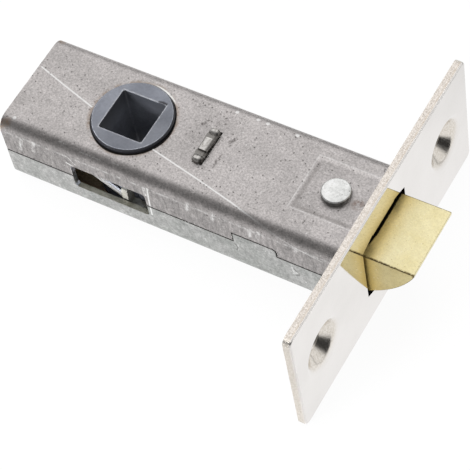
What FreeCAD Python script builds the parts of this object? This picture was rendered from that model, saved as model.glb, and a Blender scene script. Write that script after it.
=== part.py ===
"""Tubular door latch: a case of two pressed halves, a faceplate with a sprung brass bolt, and a plastic hub.

Millimetres. X runs along the case and the bolt throws towards +X. The faceplate's outer face is at X = 0
and its long side lies along Y. Z is the spindle's axis. The origin is the middle of the faceplate's outer
face, halfway between its two screw holes. The shapes are drawn with the bolt fully out.
"""
import FreeCAD, Part
import Sketcher
import os
from math import asin, atan2, cos, pi, sin, tan

doc = FreeCAD.newDocument("tubular_latch")

DRIVING = {
    # Faceplate
    "plate_length": 57,
    "plate_width": 25,
    "plate_thickness": 1.4,
    "plate_corner": 1.2,
    "plate_edge_round": 0.45,
    "screw_spacing": 41,
    "screw_hole": 4.6,
    "countersink": 8.8,
    "screw_land": 0.5,
    "dimple_wall": 0.9,
    "bolt_side_gap": 0.5,
    "hole_arch": 18,
    "tongue_width": 7,
    "tongue_thickness": 1.1,
    "tongue_length": 11.5,
    "tongue_bend": 1.9,
    # Case of two pressed halves
    "case_depth": 65,
    "case_width": 19.6,
    "case_height": 14.8,
    "case_sheet": 0.9,
    "bend_radius": 2.2,
    "seam_gap": 0.15,
    "recess_depth": 0.3,
    "recess_length": 12.8,
    "recess_width": 10.6,
    "recess_slope": 0.6,
    "recess_corner": 1.6,
    "joggle_start": 14,
    "joggle_length": 8,
    "joggle_height": 2.2,
    "joggle_front_rise": 0.4,
    "joggle_corner": 0.7,
    "window_length": 14.2,
    "window_height": 5.6,
    "window_corner": 0.7,
    # Hub
    "backset": 45,
    "spindle_square": 8.1,
    "square_corner": 0.4,
    "hub_journal": 13.8,
    "hub_waist": 13.2,
    "hub_flange": 15.6,
    "hub_flange_height": 0.7,
    "hub_stands_out": 0.65,
    "hub_chamfer": 0.3,
    "horn_reach": 7.4,
    "horn_nose": 1.2,
    "horn_height": 7.6,
    "horn_root": 2.4,
    "horn_play": 0.6,
    # Bolt and its tail
    "bolt_throw": 8.3,
    "bolt_width": 12.8,
    "bolt_land": 0.5,
    "bolt_setback": 0.2,
    "bevel_radius": 21,
    "bolt_length": 18,
    "bolt_head_behind": 4.5,
    "shoulder_length": 3,
    "shoulder_height": 6,
    "shoulder_round": 0.7,
    "bolt_body_width": 10.4,
    "spring_bore": 7.2,
    "spring_bore_depth": 8,
    "tail_thickness": 1,
    "tail_gap": 1.3,
    "tail_bar_length": 7.8,
    "tail_corner": 1.2,
    "ear_thickness": 1.2,
    "ear_height": 3.6,
    "ear_round": 0.4,
    "stud": 2.4,
    "stud_head": 3.4,
    "stud_head_height": 0.4,
    "stud_spread": 7,
    "stud_setback": 16,
    # Rivets at the front, in recesses that lie a little to one side
    "rivet_setback": 8.5,
    "rivet_offset": 0.8,
    "rivet_head": 4.9,
    "rivet_head_height": 0.95,
    "rivet_head_chamfer": 0.2,
    "rivet_shank": 3,
    # Spring abutment staked between the webs
    "abutment_setback": 31.3,
    "abutment_thickness": 1.5,
    "abutment_width": 12.4,
    "lug_width": 6.8,
    "lug_stands_out": 0.55,
    "stake_groove": 1,
    "stake_groove_depth": 0.4,
    "stake_spread": 3.4,
    "slot_play": 0.3,
    "spigot": 4.8,
    "spigot_length": 2.6,
    "spigot_nose": 0.7,
    # Springs
    "spring_diameter": 6.5,
    "spring_wire": 0.7,
    "spring_turns": 9,
    "bow_wire": 0.8,
    "bow_radius": 3.8,
    "bow_level": -3.5,
    "bow_tip_inset": 0.7,
    # Fits
    "running_clearance": 0.3,
    "slide_clearance": 0.2,
    "journal_clearance": 0.1,
    "fit_clearance": 0.05,
}

sizes = doc.addObject("Spreadsheet::Sheet", "sizes")
for row, (word, number) in enumerate(DRIVING.items(), start=1):
    sizes.set(f"A{row}", word)
    sizes.set(f"B{row}", str(number))
    sizes.setAlias(f"B{row}", word)
doc.recompute()

# A cut reaches this far past the face that it opens.
PAST = 1

# Chords in each turn of the bolt spring, and flats round a spring's wire.
CHORDS_PER_TURN = 12
WIRE_SIDES = 8

# Places that several pieces share, as formulas on the sheet.
PLATE_BACK = "-sizes.plate_thickness"
REAR = "-sizes.case_depth"
SIDE = "sizes.case_width / 2"
INNER_SIDE = f"({SIDE} - sizes.case_sheet)"
TOP = "sizes.case_height / 2"
INNER_TOP = f"({TOP} - sizes.case_sheet)"
RECESS_TOP = f"({TOP} - sizes.recess_depth)"
RECESS_UNDER = f"({RECESS_TOP} - sizes.case_sheet)"
RECESS_REAR = f"({PLATE_BACK} - sizes.recess_length)"
TONGUE_UNDER = f"({RECESS_UNDER} - sizes.tongue_thickness)"
TONGUE_REAR = f"({PLATE_BACK} - sizes.tongue_length)"
BOLT_TOP = f"({TONGUE_UNDER} - sizes.slide_clearance)"
HOLE_SIDE = "(sizes.bolt_width / 2 + sizes.bolt_side_gap)"
HOLE_RISE = "(sizes.hole_arch - sqrt(sizes.hole_arch ^ 2 - (sizes.tongue_width / 2) ^ 2))"
HOLE_CROWN = f"({TONGUE_UNDER} + sizes.tongue_bend + {HOLE_RISE})"
COUNTERSINK_DEPTH = "((sizes.countersink - sizes.screw_hole) / 2)"
DIMPLE_DEPTH = f"({COUNTERSINK_DEPTH} + sizes.screw_land)"
HUB_X = "-sizes.backset"
RUNNER_SIDE = f"({INNER_SIDE} - sizes.running_clearance)"
ARM_INNER = "(sizes.hub_waist / 2 + sizes.running_clearance)"
TAIL_UNDER = f"(-{INNER_TOP} + sizes.tail_gap)"
TAIL_TOP = f"({TAIL_UNDER} + sizes.tail_thickness)"
TAIL_FRONT = f"({TONGUE_REAR} - 2 * sizes.running_clearance)"
TAIL_BAR_REAR = f"({TAIL_FRONT} - sizes.tail_bar_length)"
HORN_ANGLE = "(90 - asin(sizes.bolt_throw / (2 * sizes.horn_reach)) / 1 deg)"
HORN_NOSE_X = "(sizes.bolt_throw / 2)"
EAR_FRONT = f"({HUB_X} + {HORN_NOSE_X} - sizes.horn_nose - sizes.horn_play)"
EAR_REAR = f"({EAR_FRONT} - sizes.ear_thickness)"
EAR_TOP = f"({TAIL_TOP} + sizes.ear_height)"
BOLT_REAR = "-sizes.bolt_length"
ABUTMENT_FRONT = "(-sizes.abutment_setback + sizes.abutment_thickness / 2)"
ABUTMENT_REAR = "(-sizes.abutment_setback - sizes.abutment_thickness / 2)"
BORE_FLOOR = f"({BOLT_REAR} + sizes.spring_bore_depth)"


def value(formula):
    """The number that a formula on the sheet gives now."""
    result = sizes.evalExpression(formula)
    return float(getattr(result, "Value", result))


def place(item, x="0", y="0", z="0", axis=None, angle=None):
    """Bind an object's position, and its turn about an axis, to formulas."""
    if axis is not None:
        item.Placement = FreeCAD.Placement(FreeCAD.Vector(), FreeCAD.Rotation(FreeCAD.Vector(*axis), 1))
        item.setExpression("Placement.Rotation.Angle", angle)
    for name, formula in (("x", x), ("y", y), ("z", z)):
        item.setExpression(f"Placement.Base.{name}", formula)
    return item


def box(name, x, y, z):
    """A box between two formulas on each axis."""
    item = doc.addObject("Part::Box", name)
    for length, (low, high) in (("Length", x), ("Width", y), ("Height", z)):
        item.setExpression(length, f"({high}) - ({low})")
    return place(item, x[0], y[0], z[0])


def across(half):
    """The two ends of a span that lies evenly about zero."""
    return (f"-({half})", half)


def upright(name, diameter, z, x="0", y="0"):
    """A cylinder along Z between two heights."""
    item = doc.addObject("Part::Cylinder", name)
    item.setExpression("Radius", f"({diameter}) / 2")
    item.setExpression("Height", f"({z[1]}) - ({z[0]})")
    return place(item, x, y, z[0])


def lengthwise(name, diameter, x, y="0", z="0"):
    """A cylinder along X between two stations."""
    item = doc.addObject("Part::Cylinder", name)
    item.setExpression("Radius", f"({diameter}) / 2")
    item.setExpression("Height", f"({x[1]}) - ({x[0]})")
    return place(item, x[0], y, z, axis=(0, 1, 0), angle="90")


def fuse(name, *items):
    item = doc.addObject("Part::MultiFuse", name)
    item.Shapes = list(items)
    item.Refine = True
    return item


def cut(name, base, tool):
    item = doc.addObject("Part::Cut", name)
    item.Base = base
    item.Tool = tool
    item.Refine = True
    return item


def common(name, first, second):
    item = doc.addObject("Part::Common", name)
    item.Base = first
    item.Tool = second
    item.Refine = True
    return item


def dressed(kind, name, base, formula, wanted):
    """Dress the edges of base whose middle and direction the test accepts."""
    doc.recompute()
    item = doc.addObject(kind, name)
    item.Base = base
    size = value(formula)
    chosen = []
    for number, edge in enumerate(base.Shape.Edges, start=1):
        half_way = (edge.FirstParameter + edge.LastParameter) / 2
        if wanted(edge.valueAt(half_way), edge.tangentAt(half_way)):
            chosen.append((number, size, size))
    item.Edges = chosen
    return item


def rounded(name, base, radius, wanted):
    return dressed("Part::Fillet", name, base, radius, wanted)


def chamfered(name, base, width, wanted):
    return dressed("Part::Chamfer", name, base, width, wanted)


def is_along(direction, axis):
    return abs(getattr(direction, axis)) > 0.999


def near(first, second):
    return abs(first - second) < 1e-4


def finish(item, label):
    """Name the sub-part's own object after its node."""
    item.Label = label
    nodes.append(item)
    return item


nodes = []


def make_case():
    """Both halves come from one closed tube, split along the joggled seam."""
    along_tube = (REAR, PLATE_BACK)
    outside = box("case_outside", along_tube, across(SIDE), across(TOP))
    outside = rounded("case_outside_bends", outside, "sizes.bend_radius", lambda p, d: is_along(d, "x"))
    through = (f"{REAR} - {PAST}", f"{PLATE_BACK} + {PAST}")
    inside = box("case_inside", through, across(INNER_SIDE), across(INNER_TOP))
    inside = rounded("case_inside_bends", inside, "sizes.bend_radius - sizes.case_sheet",
                     lambda p, d: is_along(d, "x"))
    tube = cut("case_tube", outside, inside)

    recess_x = (RECESS_REAR, PLATE_BACK)
    recess_y = ("sizes.rivet_offset - sizes.recess_width / 2", "sizes.rivet_offset + sizes.recess_width / 2")
    pressed = []
    pockets = []
    for side, sign in (("upper", ""), ("lower", "-")):
        band = sorted((f"{sign}{RECESS_UNDER}", f"{sign}{INNER_TOP}"), key=value)
        pressed.append(box(f"{side}_recess_wall", recess_x, recess_y, band))
        pockets.append(recess_pocket(side, sign))

    whole_height = across(f"{TOP} + {PAST}")
    bore = upright("hub_bore", "sizes.hub_journal + 2 * sizes.journal_clearance", whole_height, HUB_X)
    window_x = (f"{HUB_X} - sizes.window_length / 2", f"{HUB_X} + sizes.window_length / 2")
    window = box("side_window", window_x, across(f"{SIDE} + {PAST}"), across("sizes.window_height / 2"))
    window = rounded("side_window_corners", window, "sizes.window_corner", lambda p, d: is_along(d, "y"))
    slot_x = (f"{ABUTMENT_REAR} - sizes.fit_clearance", f"{ABUTMENT_FRONT} + sizes.slot_play")
    slot = box("lug_slot", slot_x, across("sizes.lug_width / 2 + sizes.fit_clearance"), whole_height)
    rivet_hole = upright("case_rivet_holes", "sizes.rivet_shank + 2 * sizes.fit_clearance", whole_height,
                         "-sizes.rivet_setback", "sizes.rivet_offset")
    openings = fuse("case_openings", bore, window, slot, rivet_hole, *pockets)
    pierced = cut("case_pierced", fuse("case_pressed", tube, *pressed), openings)

    lower_zone = seam_zone("lower", "-sizes.seam_gap / 2")
    upper_zone = seam_zone("upper", "sizes.seam_gap / 2")
    finish(cut("upper_half", pierced, upper_zone), "case_upper")

    flap_x = (REAR, f"{REAR} + sizes.case_sheet")
    flap_top = f"{INNER_TOP} - sizes.fit_clearance"
    flap = box("rear_flap", flap_x, across(f"{INNER_SIDE} - sizes.fit_clearance"),
               (f"-{INNER_TOP}", flap_top))
    flap = rounded("rear_flap_corners", flap, "sizes.bend_radius - sizes.case_sheet",
                   lambda p, d: is_along(d, "x"))
    foot_y = across(f"{INNER_SIDE} - sizes.bend_radius")
    foot = box("rear_flap_bend", flap_x, foot_y, (f"-{INNER_TOP} - sizes.case_sheet / 2", f"-{INNER_TOP}"))
    lower = common("lower_shell", pierced, lower_zone)
    finish(fuse("lower_half", lower, flap, foot), "case_lower")


def recess_pocket(side, sign):
    """What the press sinks into one web: a shallow pocket, open at the plate, whose other walls slope."""
    spread = f"sizes.recess_slope * (1 + {PAST} / sizes.recess_depth)"
    floor_rear = f"{RECESS_REAR} + sizes.recess_slope"
    floor_side = "sizes.recess_width / 2 - sizes.recess_slope"
    pocket = doc.addObject("Part::Wedge", f"{side}_recess_pocket")
    for field, formula in (("Xmin", floor_rear), ("Xmax", f"{PLATE_BACK} + {PAST}"),
                           ("Ymin", RECESS_TOP), ("Ymax", f"{TOP} + {PAST}"),
                           ("Zmin", f"-({floor_side})"), ("Zmax", floor_side),
                           ("X2min", f"{floor_rear} - {spread}"), ("X2max", f"{PLATE_BACK} + {PAST}"),
                           ("Z2min", f"-({floor_side} + {spread})"), ("Z2max", f"{floor_side} + {spread}")):
        pocket.setExpression(field, formula)
    place(pocket, "0", "sizes.rivet_offset", "0", axis=(1, 0, 0), angle=f"{sign}90")
    rear = value(RECESS_REAR)
    return rounded(f"{side}_recess_corners", pocket, "sizes.recess_corner",
                   lambda p, d: abs(d.z) > 0.1 and p.x < rear)


def seam_zone(side, gap):
    """All that lies below the seam: a flat step, a raised tab and a small rise in front of the tab."""
    wide = across(f"{SIDE} + {PAST}")
    floor = f"-({TOP} + {PAST})"
    below = box(f"{side}_below_seam", (f"{REAR} - {PAST}", f"{PLATE_BACK} + {PAST}"), wide, (floor, gap))
    tab_x = (f"-sizes.joggle_start - sizes.joggle_length - ({gap})", f"-sizes.joggle_start + {gap}")
    tab = box(f"{side}_tab", tab_x, wide, (floor, f"sizes.joggle_height + {gap}"))
    tab_front = value(tab_x[1])
    tab_top = value(f"sizes.joggle_height + {gap}")
    tab = rounded(f"{side}_tab_corner", tab, "sizes.joggle_corner",
                  lambda p, d: is_along(d, "y") and near(p.x, tab_front) and near(p.z, tab_top))
    rise_x = (f"-sizes.joggle_start - {PAST}", f"{PLATE_BACK} + {PAST}")
    rise = box(f"{side}_front_rise", rise_x, wide, (floor, f"sizes.joggle_front_rise + {gap}"))
    return fuse(f"{side}_seam_zone", below, tab, rise)


def make_faceplate():
    """A flat plate whose bolt hole is lanced, with the metal bent back as two tongues for the rivets."""
    blank = box("plate_blank", (PLATE_BACK, "0"), across("sizes.plate_length / 2"),
                across("sizes.plate_width / 2"))
    blank = rounded("plate_corners", blank, "sizes.plate_corner", lambda p, d: is_along(d, "x"))
    blank = rounded("plate_front_edge", blank, "sizes.plate_edge_round",
                    lambda p, d: near(p.x, 0) and not is_along(d, "x"))
    through = (f"{PLATE_BACK} - {PAST}", f"{PAST}")
    bolt_hole = box("bolt_hole_sides", through, across(HOLE_SIDE), across(HOLE_CROWN))
    for side, sign in (("upper", ""), ("lower", "-")):
        arch = lengthwise(f"{side}_arch", "2 * sizes.hole_arch", through, "0",
                          f"{sign}({HOLE_CROWN} - sizes.hole_arch)")
        bolt_hole = common(f"bolt_hole_{side}", bolt_hole, arch)
    screws = []
    dimples = []
    for end, sign in (("near", "-"), ("far", "")):
        y = f"{sign}sizes.screw_spacing / 2"
        cone = doc.addObject("Part::Cone", f"{end}_countersink")
        cone.setExpression("Radius1", "sizes.screw_hole / 2")
        cone.setExpression("Radius2", "sizes.countersink / 2")
        cone.setExpression("Height", COUNTERSINK_DEPTH)
        place(cone, f"-{COUNTERSINK_DEPTH}", y, "0", axis=(0, 1, 0), angle="90")
        shank_x = (f"-{DIMPLE_DEPTH} - {PAST}", f"{PAST}")
        shank = lengthwise(f"{end}_screw_hole", "sizes.screw_hole", shank_x, y)
        screws += [cone, shank]
        dimple = doc.addObject("Part::Cone", f"{end}_dimple")
        dimple.setExpression("Radius1", "sizes.screw_hole / 2 + sizes.dimple_wall")
        dimple.setExpression("Radius2", "sizes.countersink / 2")
        dimple.setExpression("Height", f"{DIMPLE_DEPTH} - sizes.plate_thickness / 2")
        place(dimple, f"-{DIMPLE_DEPTH}", y, "0", axis=(0, 1, 0), angle="90")
        dimples.append(dimple)
    tongues = []
    for side, sign in (("upper", ""), ("lower", "-")):
        tongue_y = across("sizes.tongue_width / 2")
        band = sorted((f"{sign}{TONGUE_UNDER}", f"{sign}{RECESS_UNDER}"), key=value)
        tongue = box(f"{side}_tongue_strip", (TONGUE_REAR, "0"), tongue_y, band)
        band = sorted((f"{sign}{TONGUE_UNDER}", f"{sign}({HOLE_CROWN} + sizes.plate_thickness)"), key=value)
        root = box(f"{side}_tongue_root", (PLATE_BACK, "0"), tongue_y, band)
        under = value(f"{sign}{TONGUE_UNDER}")
        tongue = fuse(f"{side}_tongue_blank", tongue, root)
        tongues.append(rounded(f"{side}_tongue", tongue, "sizes.tongue_bend",
                               lambda p, d: is_along(d, "y") and near(p.x, 0) and near(p.z, under)))
    rivet_holes = upright("tongue_rivet_holes", "sizes.rivet_shank + 2 * sizes.fit_clearance",
                          across(TOP), "-sizes.rivet_setback", "sizes.rivet_offset")
    opened = cut("plate_opened", blank, bolt_hole)
    solid = fuse("plate_with_tongues", opened, *tongues, *dimples)
    finish(cut("plate", solid, fuse("plate_holes", rivet_holes, *screws)), "faceplate")


def make_rivets():
    """One short rivet holds each tongue in the recess of its half; its inner end is flush."""
    for side, sign in (("upper", ""), ("lower", "-")):
        at = ("-sizes.rivet_setback", "sizes.rivet_offset")
        face = f"{sign}({RECESS_TOP} + sizes.rivet_head_height)"
        head_span = sorted((f"{sign}{RECESS_TOP}", face), key=value)
        head = upright(f"{side}_rivet_head", "sizes.rivet_head", head_span, *at)
        crown = value(face)
        head = chamfered(f"{side}_rivet_crown", head, "sizes.rivet_head_chamfer",
                         lambda p, d: near(p.z, crown))
        shank_span = sorted((f"{sign}{TONGUE_UNDER}", f"{sign}{RECESS_TOP}"), key=value)
        shank = upright(f"{side}_rivet_shank", "sizes.rivet_shank", shank_span, *at)
        finish(fuse(f"{side}_rivet", head, shank), f"front_rivet_{side}")


def make_abutment():
    """The fixed stop behind the bolt spring: a plate across the case, staked in a slot of each web."""
    thick = (ABUTMENT_REAR, ABUTMENT_FRONT)
    plate = box("abutment_plate", thick, across("sizes.abutment_width / 2"), across(INNER_TOP))
    lugs = box("abutment_lugs", thick, across("sizes.lug_width / 2"), across(f"{TOP} + sizes.lug_stands_out"))
    spigot = lengthwise("abutment_spigot", "sizes.spigot",
                        (ABUTMENT_FRONT, f"{ABUTMENT_FRONT} + sizes.spigot_length"))
    tip = value(f"{ABUTMENT_FRONT} + sizes.spigot_length")
    spigot = chamfered("abutment_spigot_nose", spigot, "sizes.spigot_nose", lambda p, d: near(p.x, tip))
    grooves = []
    along = (f"{ABUTMENT_REAR} - {PAST}", f"{ABUTMENT_FRONT} + {PAST}")
    for side, sign in (("upper", ""), ("lower", "-")):
        for end, place_y in (("near", "-"), ("far", "")):
            top = f"{TOP} + sizes.lug_stands_out"
            span = sorted((f"{sign}({top} - sizes.stake_groove_depth)", f"{sign}({top} + {PAST})"), key=value)
            middle = f"{place_y}sizes.stake_spread / 2"
            wide = (f"{middle} - sizes.stake_groove / 2", f"{middle} + sizes.stake_groove / 2")
            grooves.append(box(f"{side}_{end}_stake", along, wide, span))
    solid = fuse("abutment_solid", plate, lugs, spigot)
    finish(cut("abutment", solid, fuse("stake_grooves", *grooves)), "spring_abutment")


def draw_bolt_profile(body):
    """Side view of the bolt: flat on top, with a long convex bevel under the nose."""
    sketch = body.newObject("Sketcher::SketchObject", "bolt_profile")
    plane = next(item for item in body.Origin.OriginFeatures if item.Role == "XZ_Plane")
    sketch.AttachmentSupport = [(plane, "")]
    sketch.MapMode = "FlatFace"
    rear = value(f"{PLATE_BACK} - sizes.bolt_head_behind")
    top = value(BOLT_TOP)
    start = value("-sizes.bolt_setback")
    nose = value("sizes.bolt_throw")
    land = value(f"{BOLT_TOP} - sizes.bolt_land")
    corners = [FreeCAD.Vector(rear, -top, 0), FreeCAD.Vector(start, -top, 0), FreeCAD.Vector(nose, land, 0),
               FreeCAD.Vector(nose, top, 0), FreeCAD.Vector(rear, top, 0)]
    chord = corners[2] - corners[1]
    outward = FreeCAD.Vector(chord.y, -chord.x, 0).normalize()
    radius = value("sizes.bevel_radius")
    sag = radius - (radius ** 2 - chord.Length ** 2 / 4) ** 0.5
    bulge = (corners[1] + corners[2]) * 0.5 + outward * sag
    sketch.addGeometry(Part.LineSegment(corners[0], corners[1]), False)
    sketch.addGeometry(Part.Arc(corners[1], bulge, corners[2]), False)
    sketch.addGeometry(Part.LineSegment(corners[2], corners[3]), False)
    sketch.addGeometry(Part.LineSegment(corners[3], corners[4]), False)
    sketch.addGeometry(Part.LineSegment(corners[4], corners[0]), False)
    links = [(0, 2, 1, 1), (1, 2, 2, 1), (2, 2, 3, 1), (3, 2, 4, 1), (4, 2, 0, 1)]
    for link in links:
        sketch.addConstraint(Sketcher.Constraint("Coincident", *link))
    for kind, line in (("Horizontal", 0), ("Vertical", 2), ("Horizontal", 3), ("Vertical", 4)):
        sketch.addConstraint(Sketcher.Constraint(kind, line))
    bound = (
        ("DistanceX", (0, 1), f"{PLATE_BACK} - sizes.bolt_head_behind"),
        ("DistanceY", (0, 1), f"-{BOLT_TOP}"),
        ("DistanceX", (0, 2), "-sizes.bolt_setback"),
        ("DistanceX", (2, 1), "sizes.bolt_throw"),
        ("DistanceY", (2, 1), f"{BOLT_TOP} - sizes.bolt_land"),
        ("DistanceY", (3, 1), BOLT_TOP),
    )
    for kind, (line, end), formula in bound:
        number = sketch.addConstraint(Sketcher.Constraint(kind, -1, 1, line, end, value(formula)))
        sketch.setExpression(f"Constraints[{number}]", formula)
    number = sketch.addConstraint(Sketcher.Constraint("Radius", 1, radius))
    sketch.setExpression(f"Constraints[{number}]", "sizes.bevel_radius")
    return sketch


def make_bolt():
    """The brass bolt: head, side shoulders that stop on the plate's back, and a bored body on the tail."""
    body = doc.addObject("PartDesign::Body", "bolt_head")
    pad = body.newObject("PartDesign::Pad", "bolt_head_pad")
    pad.Profile = draw_bolt_profile(body)
    pad.Midplane = True
    pad.setExpression("Length", "sizes.bolt_width")
    doc.recompute()
    shoulder_x = (f"{PLATE_BACK} - sizes.fit_clearance - sizes.shoulder_length",
                  f"{PLATE_BACK} - sizes.fit_clearance")
    shoulder = box("bolt_shoulder", shoulder_x, across(RUNNER_SIDE), across("sizes.shoulder_height / 2"))
    shoulder = rounded("bolt_shoulder_edges", shoulder, "sizes.shoulder_round",
                       lambda p, d: is_along(d, "z"))
    core = box("bolt_body", (BOLT_REAR, f"{PLATE_BACK} - sizes.shoulder_length"),
               across("sizes.bolt_body_width / 2"), across(BOLT_TOP))
    seat = box("tail_seat", (f"{BOLT_REAR} - {PAST}", TAIL_FRONT), across(SIDE),
               (f"-{BOLT_TOP} - {PAST}", TAIL_TOP))
    bore = lengthwise("spring_bore", "sizes.spring_bore", (f"{BOLT_REAR} - {PAST}", BORE_FLOOR))
    solid = fuse("bolt_blank", body, shoulder, core)
    machined = cut("bolt_machined", solid, fuse("bolt_cuts", seat, bore))
    studs = []
    for end, sign in (("near", "-"), ("far", "")):
        y = f"{sign}sizes.stud_spread / 2"
        x = "-sizes.stud_setback"
        shank_z = (TAIL_UNDER, f"{TAIL_TOP} + sizes.stud_head_height")
        studs.append(upright(f"{end}_stud", "sizes.stud", shank_z, x, y))
        studs.append(upright(f"{end}_stud_head", "sizes.stud_head",
                             (f"{TAIL_UNDER} - sizes.stud_head_height", TAIL_UNDER), x, y))
    finish(fuse("bolt", machined, *studs), "latch_bolt")


def make_tail():
    """A steel fork under the spring, peened to the bolt; its two ears stand behind the hub's horns."""
    level = (TAIL_UNDER, TAIL_TOP)
    bar = box("tail_bar", (TAIL_BAR_REAR, TAIL_FRONT), across(RUNNER_SIDE), level)
    front = value(TAIL_FRONT)
    bar = rounded("tail_bar_corners", bar, "sizes.tail_corner",
                  lambda p, d: is_along(d, "z") and near(p.x, front))
    pieces = [bar]
    holes = []
    for end, sign in (("near", "-"), ("far", "")):
        wide = sorted((f"{sign}{ARM_INNER}", f"{sign}{RUNNER_SIDE}"), key=value)
        pieces.append(box(f"{end}_arm", (EAR_REAR, TAIL_BAR_REAR), wide, level))
        ear = box(f"{end}_ear", (EAR_REAR, EAR_FRONT), wide, (TAIL_UNDER, EAR_TOP))
        crown = value(EAR_TOP)
        pieces.append(rounded(f"{end}_ear_crown", ear, "sizes.ear_round",
                              lambda p, d: is_along(d, "x") and near(p.z, crown)))
        holes.append(upright(f"{end}_stud_hole", "sizes.stud + 2 * sizes.fit_clearance",
                             (f"{TAIL_UNDER} - {PAST}", f"{TAIL_TOP} + {PAST}"), "-sizes.stud_setback",
                             f"{sign}sizes.stud_spread / 2"))
    finish(cut("tail", fuse("tail_fork", *pieces), fuse("stud_holes", *holes)), "tail_plate")


def hub_horn(name, angle):
    """A horn that narrows from the hub's waist to a round nose, turned to its rest angle."""
    half = "sizes.horn_root / 2"
    wedge = doc.addObject("Part::Wedge", f"{name}_flanks")
    root = "sizes.spindle_square / 2"
    for field, formula in (("Xmin", f"-{half}"), ("Xmax", half), ("Ymin", root), ("Ymax", "sizes.horn_reach"),
                           ("Zmin", "-sizes.horn_height / 2"), ("Zmax", "sizes.horn_height / 2"),
                           ("X2min", "-sizes.horn_nose"), ("X2max", "sizes.horn_nose"),
                           ("Z2min", "-sizes.horn_height / 2"), ("Z2max", "sizes.horn_height / 2")):
        wedge.setExpression(field, formula)
    high = across("sizes.horn_height / 2")
    nose = upright(f"{name}_nose", "2 * sizes.horn_nose", high, "0", "sizes.horn_reach")
    horn = fuse(name, wedge, nose)
    return place(horn, HUB_X, "0", "0", axis=(0, 0, 1), angle=angle)


def make_hub():
    """The plastic follower: a journal in each web, a flange inside each web and two horns at mid height."""
    face = f"({TOP} + sizes.hub_stands_out)"
    flange_out = f"({INNER_TOP} - sizes.running_clearance)"
    flange_in = f"({flange_out} - sizes.hub_flange_height)"
    journals = upright("hub_journals", "sizes.hub_journal", across(face), HUB_X)
    crown = value(face)
    ends = chamfered("hub_rims", journals, "sizes.hub_chamfer", lambda p, d: near(abs(p.z), crown))
    flanges = upright("hub_flanges", "sizes.hub_flange", across(flange_out), HUB_X)
    ring = cut("hub_waist_ring",
               upright("hub_waist_blank", f"sizes.hub_flange + 2 * {PAST}", across(flange_in), HUB_X),
               upright("hub_waist_core", "sizes.hub_waist", across(flange_out), HUB_X))
    barrel = cut("hub_barrel", fuse("hub_blank", ends, flanges), ring)
    horns = [hub_horn("near_horn", f"-90 - {HORN_ANGLE}"), hub_horn("far_horn", f"{HORN_ANGLE} - 90")]
    half = "sizes.spindle_square / 2"
    square = box("spindle_hole", (f"{HUB_X} - {half}", f"{HUB_X} + {half}"), across(half),
                 across(f"{face} + {PAST}"))
    square = rounded("spindle_hole_corners", square, "sizes.square_corner", lambda p, d: is_along(d, "z"))
    finish(cut("hub_moulding", fuse("hub_solid", barrel, *horns), square), "hub")


def wire_along(path, diameter, start, direction):
    """A sprung wire along a path; its round section is drawn with a few flats."""
    corners = []
    for corner in range(WIRE_SIDES + 1):
        turned = 2 * pi * corner / WIRE_SIDES
        corners.append(FreeCAD.Vector(diameter / 2 * cos(turned), diameter / 2 * sin(turned), 0))
    section = Part.makePolygon(corners)
    section.Placement = FreeCAD.Placement(start, FreeCAD.Rotation(FreeCAD.Vector(0, 0, 1), direction))
    return Part.Wire(path.Edges).makePipeShell([section], True, False, 1)


def make_bolt_spring():
    """The compression spring from the bore's floor to the abutment, bent in short chords."""
    wire = value("sizes.spring_wire")
    radius = value("sizes.spring_diameter") / 2 - wire / 2
    start = value(ABUTMENT_FRONT) + wire / 2
    length = value(BORE_FLOOR) - wire / 2 - start
    chords = round(value("sizes.spring_turns") * CHORDS_PER_TURN)
    points = []
    for chord in range(chords + 1):
        turned = 2 * pi * chord / CHORDS_PER_TURN
        station = start + length * chord / chords
        points.append(FreeCAD.Vector(station, radius * cos(turned), radius * sin(turned)))
    item = doc.addObject("Part::Feature", "compression_spring")
    item.Shape = wire_along(Part.makePolygon(points), wire, points[0], points[1] - points[0])
    finish(item, "bolt_spring")


def make_return_spring():
    """The bow spring behind the hub: its bend rests on the rear flap and its legs push the ears forward."""
    wire = value("sizes.bow_wire")
    radius = value("sizes.bow_radius")
    flap = value(f"{REAR} + sizes.case_sheet")
    centre = FreeCAD.Vector(flap + wire / 2 + radius, 0, value("sizes.bow_level"))
    reach = FreeCAD.Vector(value(EAR_REAR) - centre.x, value(f"{RUNNER_SIDE} - sizes.bow_tip_inset"), 0)
    lean = atan2(reach.y, reach.x) - asin(radius / reach.Length)
    leg_length = (reach.Length ** 2 - radius ** 2) ** 0.5 - wire / 2 * tan(lean)
    legs = []
    for side in (1, -1):
        along = FreeCAD.Vector(cos(lean), side * sin(lean), 0)
        touch = centre + FreeCAD.Vector(-radius * sin(lean), side * radius * cos(lean), 0)
        legs.append((touch, touch + along * leg_length))
    bend = Part.Arc(legs[0][0], centre - FreeCAD.Vector(radius, 0, 0), legs[1][0]).toShape()
    path = Part.Wire([Part.makeLine(legs[0][1], legs[0][0]), bend, Part.makeLine(legs[1][0], legs[1][1])])
    item = doc.addObject("Part::Feature", "bow_spring")
    item.Shape = wire_along(path, wire, legs[0][1], legs[0][0] - legs[0][1])
    finish(item, "return_spring")


make_case()
make_faceplate()
make_rivets()
make_abutment()
make_bolt()
make_tail()
make_hub()
make_bolt_spring()
make_return_spring()
doc.recompute()

for item in doc.Objects:
    if "Invalid" in item.State or "Error" in item.State:
        raise RuntimeError(f"{item.Name} failed: {item.State}")
for item in nodes:
    if item.Shape.isNull() or not item.Shape.isValid():
        raise RuntimeError(f"{item.Label} has no valid shape")

os.makedirs("parts", exist_ok=True)
for item in nodes:
    item.Shape.exportStep(f"parts/{item.Label}.step")
    print(item.Label, len(item.Shape.Solids), round(item.Shape.Volume, 2), item.Shape.BoundBox)
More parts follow.
